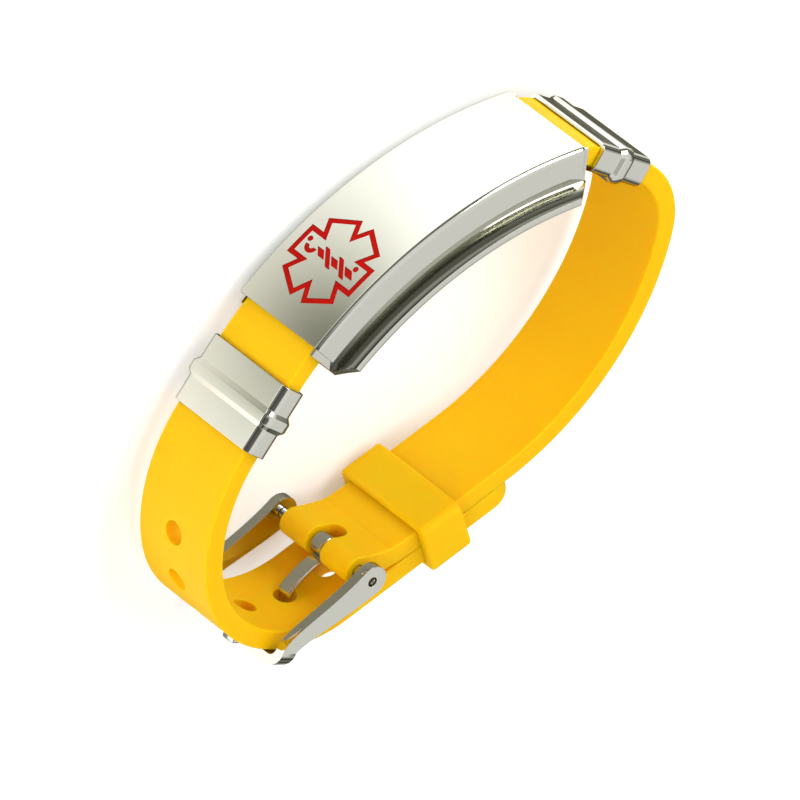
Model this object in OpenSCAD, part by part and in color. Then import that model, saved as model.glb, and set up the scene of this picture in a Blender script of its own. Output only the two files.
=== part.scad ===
// Medical alert bracelet: a silicone strap with an arched steel name plate, two ferrules,
// a keeper and a pin buckle, fastened and lying on its side.
// The loop is drawn in the X-Y plane, with the name plate at -Y and the buckle at +Y.
// Widths run along Z, and the part rests on the edge of the back plate and on one buckle arm.

/* [Strap] */
// Width of the strap
strap_w = 12; // [9:0.5:16]
// Thickness of the strap
strap_t = 2.4; // [1.8:0.1:3]
// Bevel along the long edges of the strap
strap_bevel = 0.5; // [0.2:0.05:0.8]
// Gap between the two layers of strap at the clasp
layer_gap = 0.1; // [0.05:0.05:0.3]
// Diameter of the holes for the tongue
hole_d = 2.8; // [2.4:0.1:3.4]
// Distance between two holes, along the strap
hole_pitch = 6.3; // [5:0.1:8]
// Holes between the tongue and the ferrule
holes_open = 4; // [1:1:4]
// Holes between the tongue and the tip
holes_tail = 3; // [1:1:3]
// Corner radius of the strap's tip
tip_r = 3.5; // [2:0.5:5]

/* [Loop] */
// Distance from the crown of the name plate to the line between the strap's two layers
loop_depth = 41.5; // [39:0.5:46]
// Visible strap between the name plate and the ferrule on the hole side
open_gap = 5; // [4:0.5:7]
// Bend of that strap in degrees
open_gap_turn = 9.9; // [6:0.5:14]
// Radius of the long bend after the ferrule on the hole side
open_bend_r = 20.3; // [18:0.5:22]
// Turn of that bend in degrees
open_bend_turn = 46.5; // [42:0.5:50]
// Visible strap between the name plate and the ferrule on the buckle side
clasp_gap = 2.6; // [2.2:0.1:4]
// Bend of that strap in degrees
clasp_gap_turn = 30.5; // [24:0.5:34]
// Radius of the short bend after the ferrule on the buckle side
clasp_bend_r = 9.5; // [8:0.5:12]
// Turn of that bend in degrees
clasp_bend_turn = 67.6; // [62:0.5:72]
// Straight stretch of the short end, through the keeper
short_run = 13; // [11:0.5:16]
// Radius with which the short end lifts off the long end
lift_r = 24; // [20:1:40]
// Turn of that lift in degrees
lift_turn = 19.6; // [10:0.5:22]
// Straight stretch of the long end, up to its tip
tail_run = 25; // [22:0.5:27]

/* [Name plate] */
// Outer radius of the arched plate
plate_r = 51; // [46:1:60]
// Half of the plate's arc in degrees
plate_half = 22.4; // [19:0.2:24]
// Thickness of the plate's sheet
sheet_t = 0.5; // [0.4:0.05:0.6]
// Depth of the plate's side walls below its crown
wall_depth = 3.4; // [3:0.1:3.8]
// Radius of the plate's rolled edge
edge_r = 0.45; // [0.3:0.05:0.5]
// Free play between the strap and the metal round it
play = 0.12; // [0.05:0.01:0.2]
// Gap between two pieces of metal that face each other
metal_gap = 0.06; // [0.04:0.01:0.1]

/* [Back plate] */
// Width of the back plate, which is also a side that the bracelet lies on
back_w = 17.2; // [16.4:0.1:18.4]
// Thickness of the back plate
back_t = 0.9; // [0.7:0.05:1.2]
// Space between the side walls of the name plate and the middle of the back plate
back_space = 1.3; // [1:0.1:1.8]
// Fall of the back plate from its middle to its long edges
back_crown = 0.6; // [0.3:0.05:0.9]
// Half of the back plate's arc in degrees
back_half = 23.5; // [22.5:0.1:24.5]
// Clipped corner of the back plate
back_clip = 2; // [1:0.1:2.6]
// Thickness of the rails that carry the name plate
rail_t = 0.35; // [0.25:0.05:0.5]

/* [Emblem] */
// Reach of the star's arms from its centre
star_r = 5.45; // [4.5:0.05:5.6]
// Half width of one arm
star_half = 2.05; // [1.7:0.05:2.2]
// Width of the enamel lines
line_w = 0.6; // [0.4:0.05:0.7]
// Place of the star along the plate, from its middle towards the hole side
star_at = 11.2; // [10:0.1:12]
// Depth of the engraving
engrave = 0.3; // [0.15:0.05:0.34]
// Distance of the enamel below the polished surface
enamel_sink = 0.06; // [0.02:0.01:0.1]

/* [Ferrules] */
// Length of a ferrule along the strap
ferrule_l = 8.4; // [7:0.1:9.5]
// Wall of a ferrule
ferrule_t = 0.5; // [0.35:0.05:0.7]
// Length of the raised rib round its middle
rib_l = 2.1; // [1.5:0.1:2.6]
// Length of the rib's raised middle
rib_top_l = 1.3; // [0.8:0.1:1.4]
// Height of the rib
rib_h = 0.4; // [0.2:0.05:0.6]

/* [Keeper] */
// Length of the keeper along the strap
keeper_l = 5.6; // [4:0.1:6]
// Wall of the keeper over and under the strap
keeper_wall = 0.85; // [0.6:0.05:1.1]
// Wall of the keeper beside the strap
keeper_side = 1.35; // [1:0.05:1.6]
// Corner radius of the keeper
keeper_r = 0.8; // [0.4:0.1:1]
// Distance from the end of the straight short end back to the keeper's middle
keeper_at = 3.2; // [3:0.1:5]

/* [Buckle] */
// Outer width of the buckle, which is also a side that the bracelet lies on
buckle_w = 17.2; // [16.4:0.1:18.4]
// Thickness of the buckle's arms and crossbar
arm_t = 1.2; // [0.9:0.05:1.4]
// Radius of the arm's round end at the spring bar
arm_end_r = 1.9; // [1.7:0.1:2.4]
// Width of the crossbar's strip
bar_w = 2; // [1.8:0.1:2.8]
// Turn of the strap at which the crossbar lies against it, in degrees
bar_angle = 40; // [38:1:50]
// Radius of the buckle's corners
corner_r = 1.7; // [1.5:0.1:2.6]
// Radius of the round end of the strap that holds the spring bar
end_r = 1.75; // [1.5:0.05:1.9]
// Length over which the strap thickens towards that end
swell = 5; // [3.5:0.5:6]
// Radius of the spring bar's body
pin_r = 0.7; // [0.5:0.05:0.8]
// Radius of the spring bar's tips
pin_tip_r = 0.42; // [0.3:0.02:0.48]
// Radius of the pivot holes in the arms
pivot_r = 0.6; // [0.55:0.05:0.8]
// Distance of the tips below the outer faces of the arms
tip_sink = 0.45; // [0.2:0.05:0.6]

/* [Tongue] */
// Width of the tongue
tongue_w = 1.9; // [1.4:0.1:2.1]
// Thickness of the tongue
tongue_t = 0.6; // [0.4:0.05:0.7]
// Slot in the strap's short end, wider than the tongue on each side
slot_play = 0.4; // [0.2:0.05:0.8]
// Reach of the slot past the spring bar
slot_reach = 2.9; // [2.8:0.1:3.4]
// Turn of the strap at which the tongue passes through it, in degrees
tongue_angle = 15.5; // [13:0.5:18]
// Turn from the crossbar to the end of the tongue, in degrees
tongue_past = 3; // [1.6:0.2:6]

/* [Hidden] */
$fn = 64;
// Every other piece of the strap is thinner by this on each face, and runs on into its neighbours
strap_step = 0.02;
run_on = 0.2;
// Cuts reach this far past the faces that they open
past = 1;
// Handles of the curve of a buckle arm, at the spring bar and at the crossbar, and its steps
arm_lead = 5.3;
arm_follow = 1.6;
arm_steps = 14;
// Angle by which a corner of the buckle runs on into its neighbours
corner_more = 4;
// Places along the rod as shares of the star's reach: its ends, the serpent's two crossings, its curl and head
rod_ends = [-0.413, 0.68];
crossing_at = [-0.1, 0.34];
curl_at = -0.615;
head_at = -0.78;
tail_at = 0.633;
// Sizes of the rod and the serpent as shares of the enamel line
rod_share = 1.45;
serpent_share = 0.9;
reach_share = 1.6;
head_share = 0.55;
break_share = 0.33;
// Free space round the enamel and under it
enamel_gap = 0.02;

// A place on the loop is [x, y, heading], and the loop is a chain of lines and arcs that meet smoothly.
function ahead(q, len) = [q[0] + len * cos(q[2]), q[1] + len * sin(q[2]), q[2]];
function middle(q, r, side) = [q[0] - side * r * sin(q[2]), q[1] + side * r * cos(q[2])];
function bend(q, r, turn) =
    let (side = sign(turn), c = middle(q, r, side), h = q[2] + turn)
    [c[0] + side * r * sin(h), c[1] - side * r * cos(h), h];
function degrees(len, r) = len / r * 180 / PI;
function aside(q, d) = [q[0] - d * sin(q[2]), q[1] + d * cos(q[2])];
function mix(a, b, k) = a + k * (b - a);

// Radii of the strap under the name plate, and of the plates round it
strap_r = plate_r - sheet_t - play - strap_t / 2;
wall_r = plate_r - wall_depth;
back_top_r = wall_r - back_space;
plate_w = strap_w + 2 * (play + rail_t + metal_gap + sheet_t);
half_off = (strap_t + layer_gap) / 2;

// Hole side of the loop, from the end of the name plate to the tip
open_0 = [strap_r * sin(plate_half), plate_r - strap_r * cos(plate_half), plate_half];
open_gap_r = open_gap / open_gap_turn * 180 / PI;
open_1 = bend(open_0, open_gap_r, open_gap_turn);
open_2 = ahead(open_1, ferrule_l);
open_3 = bend(open_2, open_bend_r, open_bend_turn);
open_turn = 180 - open_3[2];
open_r = (loop_depth + half_off - open_3[1]) / (cos(open_3[2]) + 1);
open_4 = bend(open_3, open_r, open_turn);
open_c = middle(open_3, open_r, 1);
open_5 = ahead(open_4, tail_run);

// Buckle side of the loop, from the end of the name plate to the spring bar
clasp_0 = [-open_0[0], open_0[1], 180 - plate_half];
clasp_gap_r = clasp_gap / clasp_gap_turn * 180 / PI;
clasp_1 = bend(clasp_0, clasp_gap_r, -clasp_gap_turn);
clasp_2 = ahead(clasp_1, ferrule_l);
clasp_3 = bend(clasp_2, clasp_bend_r, -clasp_bend_turn);
clasp_r = (loop_depth - half_off - clasp_3[1]) / (1 - cos(clasp_3[2]));
clasp_4 = bend(clasp_3, clasp_r, -clasp_3[2]);
clasp_c = middle(clasp_3, clasp_r, -1);
clasp_5 = ahead(clasp_4, short_run);
clasp_6 = bend(clasp_5, lift_r, -lift_turn);
pivot = aside(clasp_6, -(end_r - strap_t / 2));

// Buckle and tongue, placed round the strap's last bend on the hole side
outer_r = open_r + strap_t / 2;
bar_r = outer_r + play + arm_t / 2;
arm_mid = (buckle_w - arm_t) / 2;
arm_in = buckle_w / 2 - arm_t;
pin_bore_r = pin_r + play / 2;
curl_in_r = pin_r + play / 2;
curl_out_r = curl_in_r + tongue_t;
curl_r = (curl_in_r + curl_out_r) / 2;
tongue_out_r = bar_r + arm_t / 2 + metal_gap + tongue_t / 2;
function on_bend(r, a) = [open_c[0] + r * sin(a), open_c[1] + r * cos(a)];

// Size of the whole part, which puts the origin under the middle of its box
x_right = open_3[2] < 90 ? open_c[0] + outer_r
    : middle(open_2, open_bend_r, 1)[0] + open_bend_r + strap_t / 2;
x_left = clasp_3[2] < 90 ? middle(clasp_2, clasp_bend_r, -1)[0] - clasp_bend_r - strap_t / 2
    : clasp_c[0] - clasp_r - strap_t / 2;
keeper_out = half_off + strap_t / 2 + play + keeper_wall;
y_back = max(loop_depth + keeper_out, on_bend(tongue_out_r, tongue_angle)[1] + tongue_t / 2);
x_shift = -(x_left + x_right) / 2;
y_shift = -y_back / 2;
z_shift = max(back_w, buckle_w) / 2;
module place() translate([x_shift, y_shift, z_shift]) children();

// Outline of a strip across the loop: x is the distance from its middle line, y its width
module bevelled(t, w, b) {
    polygon([[-t / 2 + b, -w / 2], [t / 2 - b, -w / 2], [t / 2, -w / 2 + b], [t / 2, w / 2 - b],
             [t / 2 - b, w / 2], [-t / 2 + b, w / 2], [-t / 2, w / 2 - b], [-t / 2, -w / 2 + b]]);
}
module rounded(t, w, r) {
    union() {
        square([t, w - 2 * r], center = true);
        square([t - 2 * r, w], center = true);
        for (i = [-1, 1]) {
            for (j = [-1, 1]) {
                translate([i * (t / 2 - r), j * (w / 2 - r)])
                    circle(r);
            }
        }
    }
}
module along(q, len) {
    translate([q[0], q[1], 0])
        rotate([90, 0, 90 + q[2]])
            linear_extrude(len)
                children();
}
module around(q, r, turn, more = 0) {
    side = sign(turn);
    c = middle(q, r, side);
    translate([c[0], c[1], 0])
        rotate(q[2] - 90 * side + min(turn, 0) - more)
            rotate_extrude(angle = abs(turn) + 2 * more, $fn = 180)
                translate([r, 0])
                    children();
}
module full_strap() bevelled(strap_t, strap_w, strap_bevel);
module thin_strap() bevelled(strap_t - 2 * strap_step, strap_w - 2 * strap_step, strap_bevel);
module thin_along(q, len) along(ahead(q, -run_on), len + 2 * run_on) thin_strap();
module thin_around(q, r, turn) around(q, r, turn, degrees(run_on, r)) thin_strap();

// The name plate's arc starts on the buckle side and ends on the hole side
module arched(half) {
    translate([0, plate_r, 0])
        rotate(-90 - half)
            rotate_extrude(angle = 2 * half, $fn = 360)
                children();
}

module hole_cut(q, r) {
    translate([q[0], q[1], 0])
        rotate([90, 0, q[2]])
            cylinder(r = r, h = 3 * strap_t, center = true);
}
// Place of a hole, as its distance along the strap from the tongue's hole towards the ferrule
function on_turn(c, r, h) = [c[0] + r * sin(h), c[1] - r * cos(h), h];
open_arc = (open_turn - tongue_angle) * PI / 180 * open_r;
tail_arc = tongue_angle * PI / 180 * open_r;
function hole_place(d) =
    d > open_arc ? on_turn(middle(open_2, open_bend_r, 1), open_bend_r,
                           open_3[2] - degrees(d - open_arc, open_bend_r))
    : -d > tail_arc ? ahead(open_4, -d - tail_arc)
    : on_turn(open_c, open_r, 180 - tongue_angle - degrees(d, open_r));

// The end that holds the spring bar is a thicker drum, and the strap swells towards it on the inside
module short_end() {
    h = strap_w / 2;
    b = strap_bevel;
    a = degrees(swell, lift_r);
    in_r = lift_r - strap_t / 2;
    translate([pivot[0], pivot[1], 0])
        rotate_extrude()
            polygon([[0, -h], [end_r - b, -h], [end_r, -h + b], [end_r, h - b], [end_r - b, h], [0, h]]);
    translate([clasp_6[0], clasp_6[1], 0])
        rotate(clasp_6[2])
            linear_extrude(strap_w - b, center = true)
                polygon([[0, 0], [-lift_r * sin(a), -lift_r + lift_r * cos(a)],
                         [-in_r * sin(a), -lift_r + in_r * cos(a)],
                         [0, strap_t / 2 - 2 * end_r + strap_step]]);
}

module strap() color("gold") place() difference() {
    union() {
        thin_around([-open_0[0], open_0[1], -plate_half], strap_r, 2 * plate_half);
        around(open_0, open_gap_r, open_gap_turn) full_strap();
        thin_along(open_1, ferrule_l);
        around(open_2, open_bend_r, open_bend_turn) full_strap();
        thin_around(open_3, open_r, open_turn);
        along(open_4, tail_run) full_strap();
        around(clasp_0, clasp_gap_r, -clasp_gap_turn) full_strap();
        thin_along(clasp_1, ferrule_l);
        around(clasp_2, clasp_bend_r, -clasp_bend_turn) full_strap();
        thin_around(clasp_3, clasp_r, -clasp_3[2]);
        along(clasp_4, short_run) full_strap();
        thin_around(clasp_5, lift_r, -lift_turn);
        short_end();
    }
    for (k = [-holes_tail:holes_open]) {
        hole_cut(hole_place(k * hole_pitch), hole_d / 2);
    }
    tip_cut();
    translate([pivot[0], pivot[1], 0])
        cylinder(r = pin_bore_r, h = strap_w + 2 * past, center = true);
    slot_cut();
}
module tip_cut() {
    for (side = [-1, 1]) {
        translate([open_5[0], open_5[1], side * strap_w / 2])
            rotate([90, 0, 0])
                linear_extrude(2 * strap_t, center = true)
                    difference() {
                        square(2 * tip_r, center = true);
                        translate([tip_r, -side * tip_r])
                            circle(tip_r);
                        translate([tip_r, -side * tip_r - tip_r])
                            square([tip_r + past, 2 * tip_r]);
                    }
    }
}
module slot_cut() {
    w = tongue_w + 2 * slot_play;
    translate([pivot[0], pivot[1], 0])
        rotate([90, 0, clasp_6[2]])
            linear_extrude(4 * end_r, center = true) {
                translate([-slot_reach + w / 2, -w / 2])
                    square([slot_reach + 2 * end_r, w]);
                translate([-slot_reach + w / 2, 0])
                    circle(w / 2);
            }
}

module name_plate() color("silver") place() difference() {
    arched(plate_half) plate_outline();
    engraving(engrave, enamel_gap);
}
module plate_outline() {
    h = plate_w / 2;
    difference() {
        union() {
            translate([wall_r, -h])
                square([wall_depth - edge_r, plate_w]);
            translate([wall_r, -h + edge_r])
                square([wall_depth, plate_w - 2 * edge_r]);
            for (side = [-1, 1]) {
                translate([plate_r - edge_r, side * (h - edge_r)])
                    circle(edge_r);
            }
        }
        translate([wall_r - past, -h + sheet_t])
            square([wall_depth - sheet_t + past, plate_w - 2 * sheet_t]);
    }
}

// Six-armed star as an outline, with a rod and a serpent across the plate
module bars(r, half) {
    for (a = [0, 60, 120]) {
        rotate(a)
            square([2 * half, 2 * r], center = true);
    }
}
module star(grow) {
    difference() {
        bars(star_r + grow, star_half + grow);
        bars(star_r - line_w - grow, star_half - line_w - grow);
    }
}
module half_ring(r, w, side) {
    difference() {
        circle(r + w / 2);
        circle(r - w / 2);
        translate([side > 0 ? -2 * r : 0, -2 * r])
            square([2 * r, 4 * r]);
    }
}
serpent_w = line_w * serpent_share;
serpent_reach = line_w * reach_share;
break_l = (serpent_w / 2 + line_w * break_share) * sqrt(2);

// A piece whose ends slant by 45 degrees, between two heights on the rod's middle line
module slanted(low, high, half, grow) {
    l = low - grow * sqrt(2);
    h = high + grow * sqrt(2);
    w = half + grow;
    polygon([[-w, l - w], [w, l + w], [w, h + w], [-w, h - w]]);
}
module rod_and_serpent(grow) {
    at = star_r * crossing_at;
    ends = star_r * rod_ends;
    for (part = [[ends[0], at[0] - break_l], [at[0] + break_l, at[1] - break_l], [at[1] + break_l, ends[1]]]) {
        slanted(part[0], part[1], line_w * rod_share / 2, grow);
    }
    for (y = at) {
        slanted(y - serpent_w / sqrt(2), y + serpent_w / sqrt(2), serpent_reach, grow);
    }
    translate([0, star_r * curl_at])
        half_ring(line_w, serpent_w + 2 * grow, 1);
    for (y = [head_at, tail_at]) {
        translate([-line_w * (y > 0 ? rod_share : 1), star_r * y])
            circle(line_w * head_share + grow);
    }
}
module engraving(depth, grow) {
    a = degrees(star_at, plate_r);
    intersection() {
        translate([0, plate_r, 0])
            rotate([90, 0, a])
                translate([0, 0, plate_r / 2])
                    linear_extrude(plate_r) {
                        star(grow);
                        rod_and_serpent(grow);
                    }
        arched(plate_half)
            translate([plate_r - depth, -plate_w / 2])
                square([depth + (grow > 0 ? past : -enamel_sink), plate_w]);
    }
}
module emblem() color("red") place() engraving(engrave - enamel_gap, 0);

module back_plate() color("silver") place() difference() {
    arched(back_half) back_outline();
    for (end = [-1, 1]) {
        for (up = [-1, 1]) {
            translate([0, plate_r, 0])
                rotate(-90 + end * back_half)
                    translate([back_top_r, 0, up * back_w / 2])
                        rotate([up * end * 45, 0, 0])
                            translate([0, end * back_clip / sqrt(2), 0])
                                cube([6 * back_t, sqrt(8) * back_clip, sqrt(8) * back_clip], center = true);
        }
    }
}
module back_outline() {
    h = back_w / 2;
    m = strap_w / 2 + play + rail_t;
    rail_top = plate_r - sheet_t - metal_gap;
    polygon([[back_top_r - back_crown, -h], [back_top_r, -m], [rail_top, -m], [rail_top, -m + rail_t],
             [back_top_r, -m + rail_t], [back_top_r, m - rail_t], [rail_top, m - rail_t], [rail_top, m],
             [back_top_r, m], [back_top_r - back_crown, h], [back_top_r - back_crown - back_t, h],
             [back_top_r - back_t, m], [back_top_r - back_t, -m], [back_top_r - back_crown - back_t, -h]]);
}

// A ferrule is a sleeve with a rib in two steps round its middle
module sleeve(q, len, grow) {
    along(ahead(q, (ferrule_l - len) / 2), len)
        rounded(strap_t + 2 * (play + ferrule_t + grow), strap_w + 2 * (play + ferrule_t + grow),
                ferrule_t + strap_bevel);
}
module ferrule(q) {
    difference() {
        union() {
            sleeve(q, ferrule_l, 0);
            sleeve(q, rib_l, rib_h / 2);
            sleeve(q, rib_top_l, rib_h);
        }
        along(ahead(q, -past), ferrule_l + 2 * past)
            bevelled(strap_t + 2 * play, strap_w + 2 * play, strap_bevel);
    }
}
module ferrule_open() color("silver") place() ferrule(open_1);
module ferrule_clasp() color("silver") place() ferrule(clasp_1);

module keeper() color("gold") place() {
    q = [clasp_5[0] - keeper_at - keeper_l / 2, loop_depth, 0];
    difference() {
        along(q, keeper_l) rounded(2 * keeper_out, strap_w + 2 * (play + keeper_side), keeper_r);
        along(ahead(q, -past), keeper_l + 2 * past)
            square([2 * (half_off + strap_t / 2 + play), strap_w + 2 * play], center = true);
    }
}

// An arm is a strip of changing width along a curve from the pivot to the crossbar's corner
bar_d = [sin(bar_angle), cos(bar_angle)];
bar_at = on_bend(bar_r, bar_angle);
arm_p = [pivot, pivot + arm_lead * [cos(lift_turn / 2), sin(lift_turn / 2)],
         bar_at - (corner_r + arm_follow) * bar_d, bar_at - corner_r * bar_d];
function curve(p, k) = mix(mix(mix(p[0], p[1], k), mix(p[1], p[2], k), k),
                           mix(mix(p[1], p[2], k), mix(p[2], p[3], k), k), k);
function slope(p, k) =
    let (d = mix(mix(p[1], p[2], k), mix(p[2], p[3], k), k) - mix(mix(p[0], p[1], k), mix(p[1], p[2], k), k))
    d / norm(d);
function arm_half(k) = bar_w / 2 + (arm_end_r - bar_w / 2) * pow(1 - k, 2);
function arm_edge(side, k) =
    let (d = slope(arm_p, k), c = curve(arm_p, k))
    c + side * arm_half(k) * [-d[1], d[0]];
module arm_outline() {
    ks = [for (i = [0:arm_steps]) i / arm_steps];
    polygon(concat([for (k = ks) arm_edge(1, k)],
                   [for (i = [arm_steps:-1:0]) arm_edge(-1, i / arm_steps)]));
    translate(pivot)
        circle(arm_end_r);
}
module buckle_frame() color("silver") place() {
    difference() {
        union() {
            for (side = [-1, 1]) {
                translate([0, 0, side * arm_mid])
                    linear_extrude(arm_t, center = true)
                        arm_outline();
            }
            translate([bar_at[0] - corner_r * bar_d[0], bar_at[1] - corner_r * bar_d[1], 0])
                rotate(90 - bar_angle)
                    bow();
        }
        translate([pivot[0], pivot[1], 0])
            cylinder(r = pivot_r, h = buckle_w + 2 * past, center = true);
    }
}
// Crossbar with two round corners, drawn along +X from the ends of the arms.
// The corners are thinner by a hair and run on into the arms and the crossbar.
module bow() {
    for (side = [-1, 1]) {
        translate([0, 0, side * (arm_mid - corner_r)])
            rotate([90, 0, 0])
                rotate((side > 0 ? 0 : -90) - corner_more)
                    rotate_extrude(angle = 90 + 2 * corner_more)
                        translate([corner_r, 0])
                            square([arm_t - 2 * strap_step, bar_w - 2 * strap_step], center = true);
    }
    translate([corner_r, 0, 0])
        cube([arm_t, bar_w, 2 * (arm_mid - corner_r)], center = true);
}

module spring_bar() color("silver") place() translate([pivot[0], pivot[1], 0]) {
    cylinder(r = pin_r, h = 2 * (arm_in - metal_gap), center = true);
    cylinder(r = pin_tip_r, h = buckle_w - 2 * tip_sink, center = true);
}

// The tongue curls round the spring bar, drops through its hole and lies over the crossbar.
// Its strips are thinner than its round knees by a hair, so that they run into them cleanly.
strip_t = tongue_t - 2 * strap_step;
drop_r = open_r - strap_t / 2 - tongue_t;
drop_in = on_bend(drop_r, tongue_angle);
reach = drop_in - pivot;
reach_len = sqrt(reach * reach - curl_r * curl_r);
reach_h = atan2(reach[1], reach[0]) - asin(curl_r / norm(reach));
module tongue() color("silver") place() difference() {
    union() {
        translate([pivot[0], pivot[1], 0]) {
            cylinder(r = curl_out_r, h = tongue_w, center = true);
            rotate(reach_h)
                translate([0, curl_r - strip_t / 2, -tongue_w / 2])
                    cube([reach_len, strip_t, tongue_w]);
        }
        tongue_knee(drop_in);
        tongue_knee(on_bend(tongue_out_r, tongue_angle));
        translate([open_c[0], open_c[1], 0]) {
            rotate(90 - tongue_angle)
                translate([drop_r, -strip_t / 2, -tongue_w / 2])
                    cube([tongue_out_r - drop_r, strip_t, tongue_w]);
            rotate(90 - bar_angle - tongue_past)
                rotate_extrude(angle = bar_angle + tongue_past - tongue_angle, $fn = 180)
                    translate([tongue_out_r, 0])
                        square([strip_t, tongue_w], center = true);
        }
    }
    translate([pivot[0], pivot[1], 0])
        cylinder(r = curl_in_r, h = tongue_w + 2 * past, center = true);
}
module tongue_knee(p) {
    translate([p[0], p[1], 0])
        cylinder(r = tongue_t / 2, h = tongue_w, center = true);
}

strap();
name_plate();
emblem();
back_plate();
ferrule_open();
ferrule_clasp();
keeper();
buckle_frame();
spring_bar();
tongue();
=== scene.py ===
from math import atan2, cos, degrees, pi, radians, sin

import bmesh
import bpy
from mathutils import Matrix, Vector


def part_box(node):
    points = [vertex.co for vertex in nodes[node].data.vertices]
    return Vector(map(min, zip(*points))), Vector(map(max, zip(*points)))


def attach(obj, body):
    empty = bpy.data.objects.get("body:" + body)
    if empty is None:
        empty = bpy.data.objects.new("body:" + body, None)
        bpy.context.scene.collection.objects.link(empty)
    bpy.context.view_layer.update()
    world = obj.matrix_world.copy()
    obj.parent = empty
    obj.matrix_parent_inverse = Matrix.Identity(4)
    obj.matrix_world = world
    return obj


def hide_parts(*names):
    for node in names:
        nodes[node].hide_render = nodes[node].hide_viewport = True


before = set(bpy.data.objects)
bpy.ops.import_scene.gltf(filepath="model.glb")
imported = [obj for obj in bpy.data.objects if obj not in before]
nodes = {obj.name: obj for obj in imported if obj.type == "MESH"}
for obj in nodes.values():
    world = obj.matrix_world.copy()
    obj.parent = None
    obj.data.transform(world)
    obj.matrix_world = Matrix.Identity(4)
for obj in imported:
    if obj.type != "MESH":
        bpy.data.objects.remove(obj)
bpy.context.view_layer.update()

# %% [markdown]
# # A medical alert bracelet
# The real one is a silicone strap that runs under an arched steel name plate. Two steel ferrules, a
# silicone keeper and a pin buckle complete it. It lies on its side, fastened, so the loop is seen from above.
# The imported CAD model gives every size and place. Here each piece gets the soft edges, the polish and the
# colour that the solids lack. Pieces are modelled in millimetres and turned into metres in one last step,
# because bevels and gaps of a few tenths of a millimetre are easier to read that way.

MM = 0.001
X, Y, Z = range(3)
print("CAD nodes:", ", ".join(sorted(nodes)))

# %% [markdown]
# ## The loop as a chain
# A worn strap is not an ellipse: it follows the plate, then a ferrule, then a bend. A chain of straight
# stretches and arcs that meet smoothly describes it well, and it is the chain that the solids follow.
# Each stretch is a length and a turn in degrees. One chain goes from the middle of the plate to the tip
# (the hole side), the other to the spring bar (the buckle side).

# %% Sizes and chains
STRAP_W, STRAP_T, LAYER_GAP = 12.0, 2.4, 0.1
PLATE_R, PLATE_HALF, SHEET_T, PLAY = 51.0, 22.4, 0.5, 0.12
FERRULE_L, LOOP_DEPTH = 8.4, 41.5
STRAP_R = PLATE_R - SHEET_T - PLAY - STRAP_T / 2
HALF_OFF = (STRAP_T + LAYER_GAP) / 2


def walk(chain, start, distance):
    """Place [x, y, heading] at a distance along a chain; past its end the chain goes on straight."""
    x, y, heading = start
    for length, turn in chain + [(1e3, 0)]:
        part = min(distance, length)
        if turn:
            side = 1 if turn > 0 else -1
            radius = length / radians(abs(turn))
            cx, cy = x - side * radius * sin(radians(heading)), y + side * radius * cos(radians(heading))
            heading += turn * part / length
            x, y = cx + side * radius * sin(radians(heading)), cy - side * radius * cos(radians(heading))
        else:
            x, y = x + part * cos(radians(heading)), y + part * sin(radians(heading))
        distance -= part
        if distance <= 1e-9:
            return x, y, heading


def arc(radius, turn):
    return radius * radians(abs(turn)), turn


middle = (0.0, PLATE_R - STRAP_R, 0.0)
open_chain = [arc(STRAP_R, PLATE_HALF), (5.0, 9.9), (FERRULE_L, 0), arc(20.3, 46.5)]
open_3 = walk(open_chain, middle, sum(c[0] for c in open_chain))
OPEN_R = (LOOP_DEPTH + HALF_OFF - open_3[1]) / (cos(radians(open_3[2])) + 1)
OPEN_C = (open_3[0] - OPEN_R * sin(radians(open_3[2])), open_3[1] + OPEN_R * cos(radians(open_3[2])))
open_chain += [arc(OPEN_R, 180 - open_3[2]), (25.0, 0)]
open_ends = [sum(c[0] for c in open_chain[:k]) for k in range(len(open_chain) + 1)]

back = (0.0, PLATE_R - STRAP_R, 180.0)
clasp_chain = [arc(STRAP_R, -PLATE_HALF), (2.6, -30.5), (FERRULE_L, 0), arc(9.5, -67.6)]
clasp_3 = walk(clasp_chain, back, sum(c[0] for c in clasp_chain))
CLASP_R = (LOOP_DEPTH - HALF_OFF - clasp_3[1]) / (1 - cos(radians(clasp_3[2])))
LIFT_R, LIFT_TURN = 24.0, 19.6
clasp_chain += [arc(CLASP_R, -clasp_3[2]), (13.0, 0), arc(LIFT_R, -LIFT_TURN)]
clasp_ends = [sum(c[0] for c in clasp_chain[:k]) for k in range(len(clasp_chain) + 1)]
print("strap:", round(open_ends[-1] + clasp_ends[-1], 1), "mm along its middle line")

# %% [markdown]
# The solids sit with the middle of their box at X = Y = 0, so the drawing is moved there too. The shift
# is read off the frame, not typed: in the drawing the name plate's lowest Y is its crown at 0, its highest X
# is the end of its arch, and the strap's width is centred on Z = 0.

# %% Place of the drawing in the frame
strap_low, strap_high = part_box("strap")
plate_low, plate_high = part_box("name_plate")
X_SHIFT = plate_high.x / MM - PLATE_R * sin(radians(PLATE_HALF))
Y_SHIFT = plate_low.y / MM
Z_SHIFT = (strap_low.z + strap_high.z) / 2 / MM
print("shift in mm:", round(X_SHIFT, 3), round(Y_SHIFT, 3), round(Z_SHIFT, 3))

# %% [markdown]
# ## Helpers
# A finished piece has its object at the origin with its place in its mesh, as the CAD nodes have. So the
# last step moves the mesh, scales it to metres, points the faces outwards and joins the piece to the frame.
# Polished metal shows every wrong normal. A weighted-normal modifier gives the big faces the say, so that
# the narrow bevels round them bend the reflection only where the metal really bends.
# Some operators leave their vertices and faces in another order in every run. Sorting them by place before the
# next step gives the same mesh each time. The other helpers wrap one operator each: a boolean cut, a rounding,
# a block, a cylinder and a spin. Vertices closer than WELD are one; NEAR is how close counts as on a plane.

# %% Finishing, cutting and rounding
SHARP, WELD, NEAR = radians(40), 1e-4, 0.01


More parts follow.
